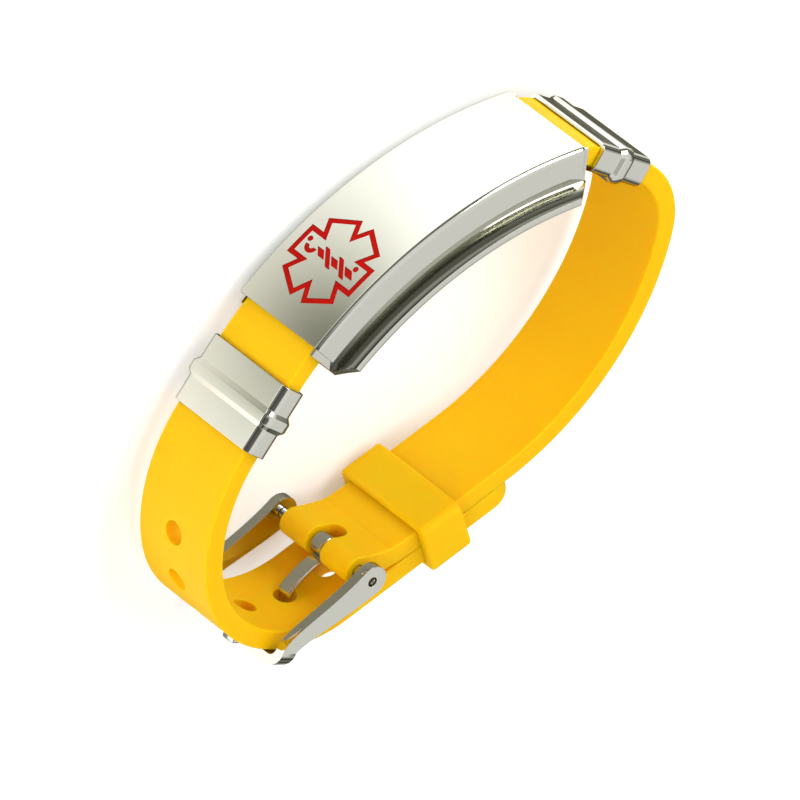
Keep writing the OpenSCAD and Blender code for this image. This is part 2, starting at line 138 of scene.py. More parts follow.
def place_of(thing):
    """The middle of a vertex, an edge or a face, rounded so that it can be compared."""
    verts = [thing] if isinstance(thing, bmesh.types.BMVert) else thing.verts
    return (sum((v.co for v in verts), Vector()) / len(verts)).to_tuple(4)


def sort_by_place(bm):
    for things in (bm.verts, bm.edges, bm.faces):
        ranks = {thing: rank for rank, thing in enumerate(sorted(things, key=place_of))}
        things.sort(key=ranks.get)


def finish_piece(bm, name, node, material):
    """Places a shape, scales it to metres and joins it to the frame as a piece."""
    bmesh.ops.remove_doubles(bm, verts=bm.verts, dist=WELD)
    bmesh.ops.recalc_face_normals(bm, faces=bm.faces)
    sort_by_place(bm)
    bmesh.ops.translate(bm, vec=(X_SHIFT, Y_SHIFT, Z_SHIFT), verts=bm.verts)
    bmesh.ops.scale(bm, vec=(MM, MM, MM), verts=bm.verts)
    for face in bm.faces:
        face.smooth = True
    for edge in bm.edges:
        edge.smooth = not (edge.is_manifold and edge.calc_face_angle() > SHARP)
    mesh = bpy.data.meshes.new(name)
    bm.to_mesh(mesh)
    bm.free()
    piece = bpy.data.objects.new(name, mesh)
    bpy.context.scene.collection.objects.link(piece)
    mesh.materials.append(material)
    weigh = piece.modifiers.new("weigh_normals", "WEIGHTED_NORMAL")
    weigh.keep_sharp = True
    weigh.weight = 100
    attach(piece, "root")
    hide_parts(node)
    print(name, "-", len(mesh.vertices), "vertices,", len(mesh.polygons), "faces")


def boolean(bm, tool, operation="DIFFERENCE"):
    """The first shape cut, joined or met by the second, as a new bmesh."""
    things = []
    for shape in (bm, tool):
        bmesh.ops.recalc_face_normals(shape, faces=shape.faces)
        sort_by_place(shape)
        mesh = bpy.data.meshes.new("shape")
        shape.to_mesh(mesh)
        shape.free()
        things.append(bpy.data.objects.new("shape", mesh))
        bpy.context.scene.collection.objects.link(things[-1])
    step = things[0].modifiers.new("step", "BOOLEAN")
    step.object, step.operation, step.solver = things[1], operation, "EXACT"
    bpy.context.view_layer.update()
    result = bmesh.new()
    result.from_object(things[0], bpy.context.evaluated_depsgraph_get())
    for thing in things:
        mesh = thing.data
        bpy.data.objects.remove(thing)
        bpy.data.meshes.remove(mesh)
    return result


def round_edges(bm, edges, offset, segments, clamp=True):
    """Bevels edges to a round profile."""
    bmesh.ops.bevel(bm, geom=edges, offset=offset, offset_type="OFFSET", segments=segments,
                    profile=0.5, affect="EDGES", material=-1, clamp_overlap=clamp)
    sort_by_place(bm)


def round_corners(bm, verts, offset, segments):
    """Rounds corners of a flat outline."""
    bmesh.ops.bevel(bm, geom=verts, offset=offset, offset_type="OFFSET", segments=segments,
                    profile=0.5, affect="VERTICES", material=-1, clamp_overlap=False)


def block(bm, low, high):
    """A box between two corners."""
    made = bmesh.ops.create_cube(bm, size=1)["verts"]
    bmesh.ops.scale(bm, vec=[h - l for l, h in zip(low, high)], verts=made)
    bmesh.ops.translate(bm, vec=[(h + l) / 2 for l, h in zip(low, high)], verts=made)
    return made


def rod(bm, radius, length, at=(0, 0, 0), axis="Z", segments=48):
    """A closed cylinder whose middle is at a point."""
    made = bmesh.ops.create_cone(bm, cap_ends=True, segments=segments, radius1=radius, radius2=radius,
                                 depth=length)["verts"]
    turn = {"Z": Matrix(), "Y": Matrix.Rotation(pi / 2, 4, "X"), "X": Matrix.Rotation(pi / 2, 4, "Y")}[axis]
    bmesh.ops.transform(bm, matrix=Matrix.Translation(at) @ turn, verts=made)
    return made


def everything(bm):
    return bm.verts[:] + bm.edges[:] + bm.faces[:]


def edges_where(bm, test):
    return [e for e in bm.edges if test(e)]


def edges_in(made):
    """The edges among the things that an operator made."""
    return [thing for thing in made if isinstance(thing, bmesh.types.BMEdge)]


def verts_of(edges):
    """The vertices of some edges, each once and always in the same order."""
    return list(dict.fromkeys(v for e in edges for v in e.verts))


def folded(edge, angle=50):
    return edge.is_manifold and edge.calc_face_angle() > radians(angle)


def extent(edge, axis):
    """How far an edge reaches along an axis."""
    return abs(edge.verts[0].co[axis] - edge.verts[1].co[axis])


def spin(bm, geom, cent, angle, steps, axis=(0, 0, 1)):
    """Turns a section round an axis, which makes the surface behind it, and gives the edges of its last place."""
    made = bmesh.ops.spin(bm, geom=geom, cent=cent, axis=axis, dvec=(0, 0, 0), angle=angle, steps=steps,
                          use_merge=False, use_normal_flip=False, use_duplicate=False)
    return edges_in(made["geom_last"])


print("helpers ready; edges sharper than", round(degrees(SHARP)), "degrees stay crisp")


# %% [markdown]
# ## Silicone
# Coloured silicone is satin and slightly see-through: light goes in and comes out a little further on, which
# warms the thin edges and keeps the shadows orange. Subsurface scattering does that. The moulded skin is
# not perfectly even, so a fine noise varies the roughness and makes a faint bump, and a wide one shifts the
# colour a little. Steel and enamel use the fine unevenness with other values, so it is a node group.

# %% Shared node group: fine unevenness
def value_socket(group, name, kind, default, direction="INPUT"):
    socket = group.interface.new_socket(name=name, in_out=direction, socket_type=kind)
    if default is not None:
        socket.default_value = default
    return socket


uneven = bpy.data.node_groups.new("fine_unevenness", "ShaderNodeTree")
value_socket(uneven, "Scale", "NodeSocketFloat", 800.0)
value_socket(uneven, "Low", "NodeSocketFloat", 0.3)
value_socket(uneven, "High", "NodeSocketFloat", 0.4)
value_socket(uneven, "Value", "NodeSocketFloat", None, "OUTPUT")
value_socket(uneven, "Height", "NodeSocketFloat", None, "OUTPUT")
inside, outside = uneven.nodes.new("NodeGroupInput"), uneven.nodes.new("NodeGroupOutput")
coords = uneven.nodes.new("ShaderNodeTexCoord")
noise = uneven.nodes.new("ShaderNodeTexNoise")
noise.inputs["Detail"].default_value = 4.0
noise.inputs["Roughness"].default_value = 0.6
spread = uneven.nodes.new("ShaderNodeMapRange")
uneven.links.new(coords.outputs["Object"], noise.inputs["Vector"])
uneven.links.new(inside.outputs["Scale"], noise.inputs["Scale"])
uneven.links.new(noise.outputs["Fac"], spread.inputs["Value"])
spread.inputs["From Min"].default_value, spread.inputs["From Max"].default_value = 0.3, 0.7
uneven.links.new(inside.outputs["Low"], spread.inputs["To Min"])
uneven.links.new(inside.outputs["High"], spread.inputs["To Max"])
uneven.links.new(spread.outputs["Result"], outside.inputs["Value"])
uneven.links.new(noise.outputs["Fac"], outside.inputs["Height"])
print("group:", uneven.name)


def new_material(name):
    material = bpy.data.materials.new(name)
    material.use_nodes = True
    tree = material.node_tree
    return material, tree, tree.nodes["Principled BSDF"]


def add_unevenness(tree, shader, scale, low, high, bump):
    """Varies the roughness, and gives the surface a faint bump."""
    group = tree.nodes.new("ShaderNodeGroup")
    group.node_tree = uneven
    group.inputs["Scale"].default_value = scale
    group.inputs["Low"].default_value, group.inputs["High"].default_value = low, high
    tree.links.new(group.outputs["Value"], shader.inputs["Roughness"])
    if bump:
        relief = tree.nodes.new("ShaderNodeBump")
        relief.inputs["Strength"].default_value = bump
        relief.inputs["Distance"].default_value = 0.00002
        tree.links.new(group.outputs["Height"], relief.inputs["Height"])
        tree.links.new(relief.outputs["Normal"], shader.inputs["Normal"])


def two_tones(tree, scale, first, second):
    """A colour that wanders between two tones, and the place that its noise is read at."""
    place = tree.nodes.new("ShaderNodeTexCoord").outputs["Object"]
    drift = tree.nodes.new("ShaderNodeTexNoise")
    drift.inputs["Scale"].default_value = scale
    mix = tree.nodes.new("ShaderNodeMix")
    mix.data_type = "RGBA"
    mix.inputs["A"].default_value = (*first, 1)
    mix.inputs["B"].default_value = (*second, 1)
    tree.links.new(place, drift.inputs["Vector"])
    tree.links.new(drift.outputs["Fac"], mix.inputs["Factor"])
    return mix.outputs["Result"], place


# %% Silicone material
silicone, tree, shader = new_material("silicone")
add_unevenness(tree, shader, 1400.0, 0.42, 0.56, 0.15)
tone = two_tones(tree, 60.0, (0.870, 0.480, 0.002), (0.885, 0.520, 0.003))[0]
tree.links.new(tone, shader.inputs["Base Color"])
shader.inputs["Subsurface Weight"].default_value = 0.8
shader.inputs["Subsurface Radius"].default_value = (1.0, 0.35, 0.02)
shader.inputs["Subsurface Scale"].default_value = 0.0020
shader.inputs["Specular IOR Level"].default_value = 0.10
print("material:", silicone.name)

# %% [markdown]
# ## Polished steel
# Polished stainless steel is almost a mirror, so its look is the look of what stands round it. The metal
# itself is plain: a warm light grey, a low roughness that varies a little with wiping marks, and no bump on
# the big faces. A darker specular tint makes it reflect less where it is seen at a slant, which draws the thin
# dark lines along its edges. The brush marks of the ferrules and the buckle are too fine to see at this distance.

# %% Steel material
steel, tree, shader = new_material("steel")
shader.inputs["Base Color"].default_value = (0.635, 0.635, 0.57, 1)
shader.inputs["Metallic"].default_value = 1.0
shader.inputs["Specular Tint"].default_value = (0.35, 0.35, 0.33, 1)
add_unevenness(tree, shader, 300.0, 0.07, 0.12, 0.0)
print("material:", steel.name)

# %% Enamel material
enamel, tree, shader = new_material("enamel")
add_unevenness(tree, shader, 900.0, 0.30, 0.42, 0.3)
tone = two_tones(tree, 900.0, (0.34, 0.003, 0.001), (0.49, 0.006, 0.002))[0]
tree.links.new(tone, shader.inputs["Base Color"])
shader.inputs["Specular IOR Level"].default_value = 0.04
print("material:", enamel.name)

# %% [markdown]
# ## Strap
# A strap is moulded flat and bent round the wrist, and it is modelled that way too. Flat, it is a box whose
# edges are rounded and whose holes are punched with clean cutters. Then it is sliced across about every
# half millimetre, where it will bend, and each vertex is carried to its place along the chain.
# X runs along the flat strap from the middle of the plate, Y is the thickness (+Y outwards), Z the width.

# %% Flat strap
END_R, SWELL, PIN_BORE_R = 1.75, 5.0, 0.76
HOLE_R, HOLE_PITCH, TONGUE_ANGLE = 1.4, 6.3, 15.5
TIP_R, STRAP_EDGE_R, HOLE_RIM_R = 3.5, 0.62, 0.26
tip_x, pin_x = open_ends[-1], -clasp_ends[-1]
drum_low = STRAP_T / 2 - 2 * END_R

bm = bmesh.new()
block(bm, (pin_x - END_R, -STRAP_T / 2, -STRAP_W / 2), (tip_x, STRAP_T / 2, STRAP_W / 2))
for x in (pin_x, pin_x + SWELL):
    bmesh.ops.bisect_plane(bm, geom=everything(bm), dist=1e-5, plane_co=(x, 0, 0), plane_no=(1, 0, 0))
for vert in bm.verts:
    if vert.co.x < pin_x + NEAR and vert.co.y < 0:
        vert.co.y = drum_low
drum_edges = edges_where(bm, lambda e: all(v.co.x < pin_x - END_R + NEAR for v in e.verts) and extent(e, Y) < NEAR)
round_edges(bm, drum_edges, END_R - NEAR, 10)
tip_edges = edges_where(bm, lambda e: all(v.co.x > tip_x - NEAR for v in e.verts) and extent(e, Z) < NEAR)
round_edges(bm, tip_edges, TIP_R, 12)
round_edges(bm, edges_where(bm, folded), STRAP_EDGE_R, 5)
print("flat strap:", len(bm.faces), "faces, pin at", round(pin_x, 1), "tip at", round(tip_x, 1))

# %% Holes, slot and bore
hole_0 = open_ends[4] + OPEN_R * radians(180 - open_3[2] - TONGUE_ANGLE)
cutter = bmesh.new()
for k in range(-3, 5):
    rod(cutter, HOLE_R, 3 * STRAP_T, (hole_0 - k * HOLE_PITCH, 0, 0), "Y", 40)
bm = boolean(bm, cutter)
SLOT_W, SLOT_REACH = 2.7, 2.9
cutter = bmesh.new()
block(cutter, (pin_x - 3 * END_R, -3 * END_R, -SLOT_W / 2),
      (pin_x + SLOT_REACH - SLOT_W / 2, 3 * END_R, SLOT_W / 2))
side = edges_where(cutter, lambda e: all(v.co.x > pin_x for v in e.verts) and extent(e, Z) < NEAR)
bmesh.ops.translate(cutter, vec=(SLOT_W / 2, 0, 0), verts=verts_of(side))
round_edges(cutter, side, SLOT_W / 2 - NEAR, 8)
bm = boolean(bm, cutter)
rims = edges_where(bm, lambda e: folded(e) and all(abs(v.co.z) < STRAP_W / 2 - 1 for v in e.verts))
round_edges(bm, rims, HOLE_RIM_R, 4)
cutter = bmesh.new()
rod(cutter, PIN_BORE_R, STRAP_W + 2, (pin_x, STRAP_T / 2 - END_R, 0), "Z", 32)
bm = boolean(bm, cutter)
print("punched strap:", len(bm.faces), "faces")


# %% Bending it round the loop
def outside_of(place, offset, side):
    """A point beside a chain; side is +1 on the hole side's chain and -1 on the buckle side's."""
    x, y, heading = place
    return x + side * offset * sin(radians(heading)), y - side * offset * cos(radians(heading))


def bent(point):
    """The place in the loop of a point of the flat strap."""
    if point.x >= 0:
        place, side = walk(open_chain, middle, point.x), 1
    else:
        place, side = walk(clasp_chain, back, -point.x), -1
    x, y = outside_of(place, point.y, side)
    return Vector((x, y, point.z))


def slice_across(bm, stations):
    """Cuts every face that crosses one of the places along X."""
    for x in stations:
        faces = [f for f in bm.faces
                 if min(v.co.x for v in f.verts) < x - WELD and max(v.co.x for v in f.verts) > x + WELD]
        geom = list(dict.fromkeys(part for face in faces for part in (face, *face.edges, *face.verts)))
        bmesh.ops.bisect_plane(bm, geom=geom, dist=WELD, plane_co=(x, 0, 0), plane_no=(1, 0, 0))


STEP = 0.55
curved = []
for ends, chain, side in ((open_ends, open_chain, 1), (clasp_ends, clasp_chain, -1)):
    for k, (length, turn) in enumerate(chain):
        count = max(1, round(length / STEP)) if turn else 1
        curved += [side * (ends[k] + length * i / count) for i in range(count + (k == len(chain) - 1))]
slice_across(bm, sorted(set(curved)))
for vert in bm.verts:
    vert.co = bent(vert.co)
finish_piece(bm, "silicone_strap", "strap", silicone)

# %% [markdown]
# ## Keeper
# The keeper is a moulded silicone loop that holds both layers of strap. It is a block with rounded edges and
# a window through it, cut with a second block, and the window's rims are softened as the mould softens them.

# %% Keeper
KEEPER_L, KEEPER_WALL, KEEPER_SIDE, KEEPER_AT = 5.6, 0.85, 1.35, 3.2
KEEPER_LONG_R, KEEPER_EDGE_R, KEEPER_RIM_R = 0.9, 0.4, 0.15
clasp_5 = walk(clasp_chain, back, clasp_ends[6])
keeper_x = clasp_5[0] - KEEPER_AT
half_t, half_w = HALF_OFF + STRAP_T / 2 + PLAY, STRAP_W / 2 + PLAY
bm, cutter = bmesh.new(), bmesh.new()
block(bm, (keeper_x - KEEPER_L / 2, LOOP_DEPTH - half_t - KEEPER_WALL, -half_w - KEEPER_SIDE),
      (keeper_x + KEEPER_L / 2, LOOP_DEPTH + half_t + KEEPER_WALL, half_w + KEEPER_SIDE))
round_edges(bm, edges_where(bm, lambda e: extent(e, X) > 1), KEEPER_LONG_R, 6)
round_edges(bm, edges_where(bm, folded), KEEPER_EDGE_R, 4)
block(cutter, (keeper_x - KEEPER_L, LOOP_DEPTH - half_t, -half_w),
      (keeper_x + KEEPER_L, LOOP_DEPTH + half_t, half_w))
bm = boolean(bm, cutter)
round_edges(bm, edges_where(bm, lambda e: folded(e) and extent(e, X) < 0.1), KEEPER_RIM_R, 3)
finish_piece(bm, "silicone_keeper", "keeper", silicone)

# %% [markdown]
# ## Name plate
# The plate is bent from one sheet: an arched face whose long edges roll over into side walls. Its section is
# a C. A quad with two rounded corners is spun round the arch's centre, and a second, smaller bar is cut
# out of it. Both are spun in equal steps, so that the cut follows the same strips.

# %% Section of the plate
EDGE_R, WALL_DEPTH, PLATE_W, PLATE_RIM_R = 0.62, 3.4, 14.06, 0.06
ARC_STEPS = 96


def quad(bm, corners):
    """One face from four corners, given in order."""
    verts = bmesh.ops.create_grid(bm, x_segments=1, y_segments=1, size=0.5)["verts"]
    verts = [verts[0], verts[1], verts[3], verts[2]]
    for vert, corner in zip(verts, corners):
        vert.co = corner
    return verts


def spin_section(bm, centre, angle, steps):
    """Turns the faces of a section into a solid that follows an arc, with both ends closed."""
    spin(bm, everything(bm), (*centre, 0), radians(angle), steps)
    bmesh.ops.remove_doubles(bm, verts=bm.verts, dist=1e-5)


def radial(radius, z, angle=0.0):
    """A point of the plate's arch: radius from its centre, width, and angle from the middle."""
    return Vector((radius * sin(radians(angle)), PLATE_R - radius * cos(radians(angle)), z))


def arch_bar(low, high, half_width, angle, steps, corner=0.0):
    """A bar of rectangular section along the plate's arch; its two outer corners can be rounded."""
    bm = bmesh.new()
    verts = quad(bm, [radial(low, -half_width, -angle), radial(high, -half_width, -angle),
                      radial(high, half_width, -angle), radial(low, half_width, -angle)])
    if corner:
        round_corners(bm, verts[1:3], corner, 8)
    spin_section(bm, (0, PLATE_R), 2 * angle, steps)
    return bm


half = PLATE_W / 2
ONE_STEP = 2 * PLATE_HALF / ARC_STEPS
plate_blank = arch_bar(PLATE_R - WALL_DEPTH, PLATE_R, half, PLATE_HALF, ARC_STEPS, EDGE_R)
channel = arch_bar(PLATE_R - WALL_DEPTH - 1, PLATE_R - SHEET_T, half - SHEET_T, PLATE_HALF + 2 * ONE_STEP,
                   ARC_STEPS + 4)
plate_blank = boolean(plate_blank, channel)
print("plate:", len(plate_blank.faces), "faces")

# %% [markdown]
# ## Emblem
# The emblem is the common sign of six crossed bars with a rod and a serpent, drawn here simply. It is
# engraved and filled with red enamel that lies a little below the steel. Three turned bars, joined, are
# the star; a smaller star leaves its outline. One cutter engraves the plate, and a slightly
# smaller copy, met with a thin shell of the plate's arch, is the enamel. The plate's two ends are rounded
# last, by a hair, so that they catch a thin line of light.

# %% Star, rod and serpent
STAR_R, STAR_HALF, LINE_W, STAR_AT = 5.45, 2.05, 0.6, 11.2
ENGRAVE, SINK, GAP = 0.3, 0.06, 0.02
star_angle = degrees(STAR_AT / PLATE_R)
to_plate = (Matrix.Translation((0, PLATE_R, 0)) @ Matrix.Rotation(radians(star_angle), 4, "Z")
            @ Matrix.Rotation(pi / 2, 4, "X"))


def star(reach, half_width, depth):
    """Three crossed bars as one solid, drawn flat with its thickness along Z."""
    whole = None
    for angle in (0, 60, 120):
        bar = bmesh.new()
        block(bar, (-half_width, -reach, -depth / 2), (half_width, reach, depth / 2))
        bmesh.ops.rotate(bar, cent=(0, 0, 0), matrix=Matrix.Rotation(radians(angle), 3, "Z"), verts=bar.verts)
        whole = boolean(whole, bar, "UNION") if whole else bar
    return whole


def outline_star(grow):
    """The star's outline, its line thicker by an amount on each side."""
    outer = star(STAR_R + grow, STAR_HALF + grow, 6)
    inner = star(STAR_R - LINE_W - grow, STAR_HALF - LINE_W - grow, 7)
    return boolean(outer, inner)


SERPENT_W, SERPENT_REACH, ROD_HALF = LINE_W * 0.9, LINE_W * 1.6, LINE_W * 1.45 / 2
CROSSINGS, ROD_ENDS = (STAR_R * -0.1, STAR_R * 0.34), (STAR_R * -0.413, STAR_R * 0.68)
BREAK = (SERPENT_W / 2 + LINE_W * 0.33) * 2 ** 0.5


def slanted(low, high, half_width, grow, round_by):
    """A block between two heights, slanted by 45 degrees, with its corners rounded."""
    bm = bmesh.new()
    half_width += grow
    block(bm, (-half_width, low - grow * 2 ** 0.5, -3), (half_width, high + grow * 2 ** 0.5, 3))
    for vert in bm.verts:
        vert.co.y += vert.co.x
    round_edges(bm, edges_where(bm, lambda e: extent(e, Z) > 1), round_by, 5)
    return bm


def rod_and_serpent(grow):
    """A rod in three pieces, with a serpent that crosses it twice, curls round its top and ends in a dot."""
    marks = []
    breaks = [ROD_ENDS[0], CROSSINGS[0] - BREAK, CROSSINGS[0] + BREAK, CROSSINGS[1] - BREAK, CROSSINGS[1] + BREAK,
              ROD_ENDS[1]]
    for low, high in zip(breaks[::2], breaks[1::2]):
        marks.append(slanted(low, high, ROD_HALF, grow, 0.1))
    for y in CROSSINGS:
        marks.append(slanted(y - SERPENT_W / 2 ** 0.5, y + SERPENT_W / 2 ** 0.5, SERPENT_REACH, grow, 0.2))
    curl = bmesh.new()
    inner, outer = LINE_W - SERPENT_W / 2 - grow, LINE_W + SERPENT_W / 2 + grow
    quad(curl, [(0, -outer, -3), (0, -inner, -3), (0, -inner, 3), (0, -outer, 3)])
    spin_section(curl, (0, 0), 180, 16)
    bmesh.ops.translate(curl, vec=(0, STAR_R * -0.615, 0), verts=curl.verts)
    marks.append(curl)
    for x, y in ((-LINE_W, STAR_R * -0.78), (-LINE_W * 1.45, STAR_R * 0.633)):
        dot = bmesh.new()
        rod(dot, LINE_W * 0.55 + grow, 6, (x, y, 0), "Z", 24)
        marks.append(dot)
    return marks


def emblem_shape(grow):
    """Star, rod and serpent, put in their place on the plate's arch."""
    whole = outline_star(grow)
    for mark in rod_and_serpent(grow):
        mesh = bpy.data.meshes.new("mark")
        mark.to_mesh(mesh)
        mark.free()
        whole.from_mesh(mesh)
        bpy.data.meshes.remove(mesh)
    bmesh.ops.transform(whole, matrix=to_plate @ Matrix.Translation((0, 0, PLATE_R)), verts=whole.verts)
    return whole


def within_arch(shape, low, high):
    """The part of a shape that lies between two radii of the plate's arch."""
    return boolean(shape, arch_bar(low, high, half + 1, PLATE_HALF, ARC_STEPS), "INTERSECT")


engraving = within_arch(emblem_shape(GAP), PLATE_R - ENGRAVE, PLATE_R + 1)
print("engraving:", len(engraving.faces), "faces")
plate_blank = boolean(plate_blank, engraving)


def on_end(vert):
    """Whether a vertex of the plate lies on one of its two end faces."""
    return abs(abs(degrees(atan2(vert.co.x, PLATE_R - vert.co.y))) - PLATE_HALF) < NEAR


rim = edges_where(plate_blank, lambda e: folded(e) and on_end(e.verts[0]) and on_end(e.verts[1]))
round_edges(plate_blank, rim, PLATE_RIM_R, 2, clamp=False)
print("plate's end edges rounded:", len(rim))
finish_piece(plate_blank, "steel_name_plate", "name_plate", steel)
bm = within_arch(emblem_shape(0.0), PLATE_R - ENGRAVE + GAP, PLATE_R - SINK)
finish_piece(bm, "enamel_emblem", "emblem", enamel)

# %% [markdown]
# ## Back plate
# The steel plate that lies against the wrist is wider than the cover. It is arched the same way, and
# crowned: its long edges fall away by 0.6 mm, in five strips on each side. Its corners are clipped and its
# edges polished round. Two rails inside the cover's walls carry the cover.

# %% Back plate
BACK_W, BACK_T, BACK_TOP, BACK_CROWN, BACK_HALF, BACK_CLIP = 17.2, 0.9, 46.3, 0.6, 23.5, 2.0
BACK_EDGE_R, CROWN_STRIPS, CROWN_POWER, METAL_GAP = 0.22, 5, 1.6, 0.06
RAIL_T, RAIL_SINK, RAIL_SHORT = 0.35, 0.2, 0.1
RAIL_IN, RAIL_TOP = STRAP_W / 2 + PLAY, PLATE_R - SHEET_T - METAL_GAP
RAIL_OUT = RAIL_IN + RAIL_T
bm = bmesh.new()
half_b = BACK_W / 2
shares = [k / CROWN_STRIPS for k in range(CROWN_STRIPS + 1)]
crown = [(RAIL_OUT + (half_b - RAIL_OUT) * s, BACK_TOP - BACK_CROWN * s ** CROWN_POWER) for s in shares]
crown = [(-z, r) for z, r in reversed(crown)] + crown
for (z0, r0), (z1, r1) in zip(crown, crown[1:]):
    quad(bm, [radial(r0 - BACK_T, z0, -BACK_HALF), radial(r0, z0, -BACK_HALF),
              radial(r1, z1, -BACK_HALF), radial(r1 - BACK_T, z1, -BACK_HALF)])
bmesh.ops.remove_doubles(bm, verts=bm.verts, dist=1e-5)
spin_section(bm, (0, PLATE_R), 2 * BACK_HALF, ARC_STEPS)
for end in (-1, 1):
    for up in (-1, 1):
        corner = radial(BACK_TOP, up * half_b, end * BACK_HALF)
        along = Vector((end * cos(radians(BACK_HALF)), sin(radians(BACK_HALF)), 0))
        normal = (along + Vector((0, 0, up))).normalized()
        made = bmesh.ops.bisect_plane(bm, geom=everything(bm), dist=1e-5, clear_outer=True,
                                      plane_co=corner - normal * BACK_CLIP / 2 ** 0.5, plane_no=normal)
        bmesh.ops.edgenet_fill(bm, edges=edges_in(made["geom_cut"]))
bmesh.ops.recalc_face_normals(bm, faces=bm.faces)
round_edges(bm, edges_where(bm, folded), BACK_EDGE_R, 4)
rail_half, rail_low = BACK_HALF - RAIL_SHORT, BACK_TOP - RAIL_SINK
for up in (-1, 1):
    rail = bmesh.new()
    z0, z1 = sorted((up * RAIL_IN, up * RAIL_OUT))
    quad(rail, [radial(rail_low, z0, -rail_half), radial(RAIL_TOP, z0, -rail_half),
                radial(RAIL_TOP, z1, -rail_half), radial(rail_low, z1, -rail_half)])
    spin_section(rail, (0, PLATE_R), 2 * rail_half, ARC_STEPS)
    bm = boolean(bm, rail, "UNION")
finish_piece(bm, "steel_back_plate", "back_plate", steel)

# %% [markdown]
# ## Ferrules
# A ferrule is a short sleeve pressed round the strap, with a raised band about its middle. The sleeve's
# outline is a rounded rectangle. It is drawn once and extruded along the strap in short steps; where the
# band stands up, the outline is scaled outwards. Inside, a second outline makes the wall.

# %% Ferrules
FERRULE_T, RIB_L, RIB_TOP_L, RIB_H, RIB_FOOT_H, RIB_DROP = 0.5, 2.1, 1.3, 0.4, 0.05, 0.06
FERRULE_R, FERRULE_EDGE_R, FERRULE_RIM_R, SOFT, RIM_L = 1.0, 0.1, 0.06, 0.15, 0.1


def sleeve(profile, thick, wide, corner):
    """A closed bar of rounded rectangles along X: profile lists (distance, growth) pairs."""
    bm = bmesh.new()
    verts = quad(bm, [(0, -thick / 2, -wide / 2), (0, thick / 2, -wide / 2),
                      (0, thick / 2, wide / 2), (0, -thick / 2, wide / 2)])
    round_corners(bm, verts, corner, 6)
    edges = bm.edges[:]
    last, grown = 0.0, 0.0
    for distance, growth in profile:
        made = edges_in(bmesh.ops.extrude_edge_only(bm, edges=edges)["geom"])
        edges = [e for e in made if all(abs(v.co.x - last) < WELD for v in e.verts) and len(e.link_faces) == 1]
        moved = verts_of(edges)
        factor = [1, (thick + 2 * growth) / (thick + 2 * grown), (wide + 2 * growth) / (wide + 2 * grown)]
        bmesh.ops.scale(bm, vec=factor, verts=moved)
        bmesh.ops.translate(bm, vec=(distance - last, 0, 0), verts=moved)
        last, grown = distance, growth
    bmesh.ops.contextual_create(bm, geom=edges)
    return bm


def ferrule(name, node, chain, start, distance):
    """A sleeve with its rib, at a distance along one of the chains."""
    mid, edge, top = FERRULE_L / 2, RIB_L / 2, RIB_TOP_L / 2
    thick, wide = STRAP_T + 2 * (PLAY + FERRULE_T), STRAP_W + 2 * (PLAY + FERRULE_T)
    slope = [(edge + SOFT, 0), (edge, RIB_FOOT_H), (top, RIB_H - RIB_DROP), (top - SOFT, RIB_H)]
    rib = [(mid - away, growth) for away, growth in slope] + [(mid + away, growth) for away, growth in slope[::-1]]
    bm = sleeve([(RIM_L, 0)] + rib + [(FERRULE_L - RIM_L, 0), (FERRULE_L, 0)], thick, wide, FERRULE_R)
    round_edges(bm, edges_where(bm, lambda e: folded(e, 70)), FERRULE_EDGE_R, 3)
    inner = sleeve([(FERRULE_L + 2, 0)], STRAP_T + 2 * PLAY, STRAP_W + 2 * PLAY, STRAP_EDGE_R)
    bmesh.ops.translate(inner, vec=(-1, 0, 0), verts=inner.verts)
    bm = boolean(bm, inner)
    round_edges(bm, edges_where(bm, lambda e: folded(e, 70)), FERRULE_RIM_R, 2)
    x, y, heading = walk(chain, start, distance)
    bmesh.ops.rotate(bm, cent=(0, 0, 0), matrix=Matrix.Rotation(radians(heading), 3, "Z"), verts=bm.verts)
    bmesh.ops.translate(bm, vec=(x, y, 0), verts=bm.verts)
    finish_piece(bm, name, node, steel)


ferrule("steel_ferrule_open", "ferrule_open", open_chain, middle, open_ends[2])
ferrule("steel_ferrule_clasp", "ferrule_clasp", clasp_chain, back, clasp_ends[2])

# %% [markdown]
# ## Buckle
# The buckle is one bent strip: two flat arms that lead from the spring bar along the strap's edges, and a
# crossbar over the strap. The arm follows an S-shaped curve and grows wider towards its round end. A short
# section is extruded along that curve, then the corner is spun and the crossbar extruded.
# The other half is a mirror image.

# %% Arm's curve
BUCKLE_W, ARM_T, ARM_END_R, BAR_W, BAR_ANGLE, CORNER_R = 17.2, 1.2, 1.9, 2.0, 40.0, 1.7
PIVOT_R, FRAME_EDGE_R, LEAD_OUT, LEAD_IN = 0.6, 0.16, 5.3, 1.6
clasp_6 = walk(clasp_chain, back, clasp_ends[7])
pivot = Vector((*outside_of(clasp_6, STRAP_T / 2 - END_R, -1), 0))
bar_r = OPEN_R + STRAP_T / 2 + PLAY + ARM_T / 2
bar_d = Vector((sin(radians(BAR_ANGLE)), cos(radians(BAR_ANGLE)), 0))
centre = Vector((*OPEN_C, 0))
bar_at = centre + bar_r * bar_d
lead = radians(LIFT_TURN / 2)
handles = [pivot, pivot + LEAD_OUT * Vector((cos(lead), sin(lead), 0)),
           bar_at - (CORNER_R + LEAD_IN) * bar_d, bar_at - CORNER_R * bar_d]


def on_curve(k):
    """Point and direction on the arm's curve."""
    a = [handles[i].lerp(handles[i + 1], k) for i in range(3)]
    b = [a[i].lerp(a[i + 1], k) for i in range(2)]
    return b[0].lerp(b[1], k), (b[1] - b[0]).normalized()


def arm_half(k):
    """Half the arm's width along its curve."""
    return BAR_W / 2 + (ARM_END_R - BAR_W / 2) * (1 - k) ** 2


print("pivot at", [round(v, 2) for v in pivot], "crossbar at", [round(v, 2) for v in bar_at])

